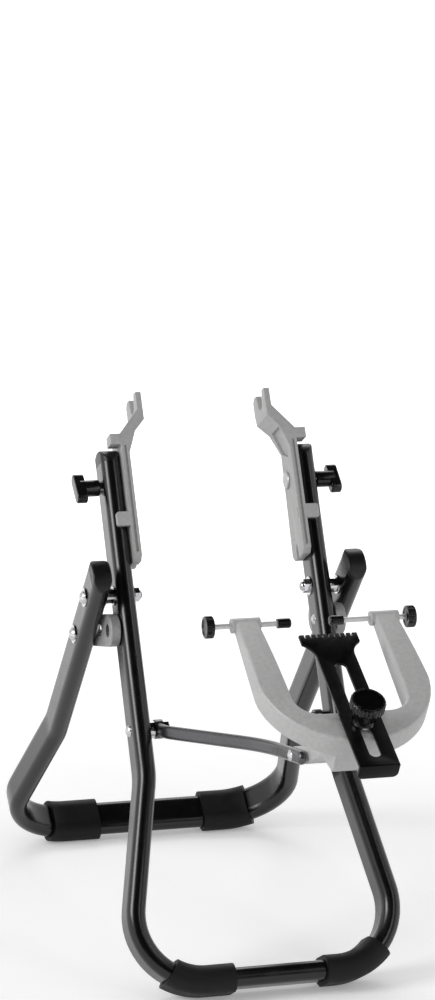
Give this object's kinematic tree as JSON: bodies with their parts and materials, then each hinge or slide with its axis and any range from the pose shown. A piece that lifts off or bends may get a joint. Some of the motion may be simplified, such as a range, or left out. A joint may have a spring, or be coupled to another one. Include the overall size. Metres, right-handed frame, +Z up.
{
  "type": "bicycle wheel truing stand",
  "caption": "Folding bicycle wheel truing stand: crossed tube frames, cast drop arms for the axle, and a swinging calliper gauge with side screws and a comb plate.",
  "frame": {"origin": "middle of the stand's bounding box, on the floor that the sleeves stand on", "axes": "+X to the right as seen from the front, +Y from the gauge towards the rear frame, +Z up"},
  "size_m": [0.257, 0.612, 0.4275],
  "materials": {
    "frame_paint": "gloss black enamel",
    "sleeve_rubber": "matte",
    "plug_rubber": "satin",
    "casting": "matte, as cast",
    "stay_steel": "dull zinc",
    "bar_steel": "semi-gloss dark grey",
    "comb_paint": "matte black",
    "knob_plastic": "matte",
    "knob_disc": "gloss",
    "bright_steel": "polished",
    "fastener_chrome": "bright"
  },
  "bodies": {
    "front_frame": {"front_frame": "frame_paint", "front_foot_left": "sleeve_rubber", "front_foot_right": "sleeve_rubber", "front_plug_left": "plug_rubber", "front_plug_right": "plug_rubber", "pivot_bolts": "fastener_chrome", "pivot_nuts": "fastener_chrome", "pivot_washers": "fastener_chrome", "pivot_spacers": "fastener_chrome", "stay_rivets": "fastener_chrome", "wing_washers": "fastener_chrome", "gauge_bolts": "fastener_chrome", "gauge_bushes": "fastener_chrome", "gauge_nuts": "fastener_chrome"},
    "rear_frame": {"rear_frame": "frame_paint", "rear_foot_left": "sleeve_rubber", "rear_foot_right": "sleeve_rubber", "rear_plug_left": "plug_rubber", "rear_plug_right": "plug_rubber", "stay_bolts": "fastener_chrome", "stay_bolt_washers": "fastener_chrome"},
    "gauge": {"gauge_bar_left": "bar_steel", "gauge_bar_right": "bar_steel", "gauge_rivet": "fastener_chrome", "gauge_casting": "casting", "comb_stud": "bright_steel", "comb_washer": "fastener_chrome"},
    "comb_plate": {"comb_plate": "comb_paint"},
    "comb_knob": {"comb_knob": "knob_plastic", "comb_knob_disc": "knob_disc"},
    "stay_left": {"stay_left": "stay_steel"},
    "drop_arm_left": {"drop_arm_left": "casting", "arm_bolt_left": "fastener_chrome"},
    "wing_nut_left": {"wing_nut_left": "knob_plastic"},
    "side_screw_left": {"side_screw_left": "bright_steel", "screw_tip_left": "knob_plastic"},
    "screw_knob_left": {"screw_knob_left": "knob_plastic"},
    "stay_right": {"stay_right": "stay_steel"},
    "drop_arm_right": {"drop_arm_right": "casting", "arm_bolt_right": "fastener_chrome"},
    "wing_nut_right": {"wing_nut_right": "knob_plastic"},
    "side_screw_right": {"side_screw_right": "bright_steel", "screw_tip_right": "knob_plastic"},
    "screw_knob_right": {"screw_knob_right": "knob_plastic"}
  },
  "joints": [
    {"name": "fold", "type": "hinge", "parent": "front_frame", "child": "rear_frame", "pos_m": [0, 0.07559, 0.27883], "axis": [-1, 0, 0], "range_deg": [0, 54]},
    {"name": "gauge_swing", "type": "hinge", "parent": "front_frame", "child": "gauge", "pos_m": [0, 0.01968, 0.18503], "axis": [-1, 0, 0], "range_deg": [-35, 60]},
    {"name": "comb_slide", "type": "slide", "parent": "gauge", "child": "comb_plate", "axis": [0, -0.8965, -0.4431], "range_m": [-0.026, 0.056]},
    {"name": "comb_knob_turn", "type": "hinge", "parent": "gauge", "child": "comb_knob", "pos_m": [0, -0.26828, 0.2789], "axis": [0, -0.4431, 0.8965], "range_deg": [0, 720]},
    {"name": "stay_turn_left", "type": "hinge", "parent": "front_frame", "child": "stay_left", "pos_m": [-0.09295, 0.06126, 0.25478], "axis": [-1, 0, 0], "range_deg": [0, 66.4]},
    {"name": "wing_turn_left", "type": "hinge", "parent": "front_frame", "child": "wing_nut_left", "pos_m": [-0.1043, 0.12116, 0.35528], "axis": [-1, 0, 0], "range_deg": [0, 2886]},
    {"name": "arm_slide_left", "type": "slide", "parent": "front_frame", "child": "drop_arm_left", "axis": [1, 0, 0], "range_m": [0, 0.01]},
    {"name": "screw_slide_left", "type": "slide", "parent": "gauge", "child": "side_screw_left", "axis": [1, 0, 0], "range_m": [-0.0126, 0.0133]},
    {"name": "screw_turn_left", "type": "hinge", "parent": "side_screw_left", "child": "screw_knob_left", "pos_m": [-0.0805, -0.15629, 0.31864], "axis": [1, 0, 0], "range_deg": [-6486, 6846]},
    {"name": "stay_turn_right", "type": "hinge", "parent": "front_frame", "child": "stay_right", "pos_m": [0.09295, 0.06126, 0.25478], "axis": [-1, 0, 0], "range_deg": [0, 66.4]},
    {"name": "wing_turn_right", "type": "hinge", "parent": "front_frame", "child": "wing_nut_right", "pos_m": [0.1043, 0.12116, 0.35528], "axis": [1, 0, 0], "range_deg": [0, 2886]},
    {"name": "arm_slide_right", "type": "slide", "parent": "front_frame", "child": "drop_arm_right", "axis": [-1, 0, 0], "range_m": [0, 0.01]},
    {"name": "screw_slide_right", "type": "slide", "parent": "gauge", "child": "side_screw_right", "axis": [-1, 0, 0], "range_m": [-0.0203, 0.0056]},
    {"name": "screw_turn_right", "type": "hinge", "parent": "side_screw_right", "child": "screw_knob_right", "pos_m": [0.0729, -0.15629, 0.31864], "axis": [-1, 0, 0], "range_deg": [-10446, 2886]}
  ],
  "couplings": [
    {"joint": "stay_turn_left", "follows": "fold", "ratio": 1.228},
    {"joint": "wing_turn_left", "follows": "arm_slide_left", "rad_per_m": 5026.5},
    {"joint": "screw_turn_left", "follows": "screw_slide_left", "rad_per_m": 8976},
    {"joint": "stay_turn_right", "follows": "fold", "ratio": 1.228},
    {"joint": "wing_turn_right", "follows": "arm_slide_right", "rad_per_m": 5026.5},
    {"joint": "screw_turn_right", "follows": "screw_slide_right", "rad_per_m": 8976}
  ]
}
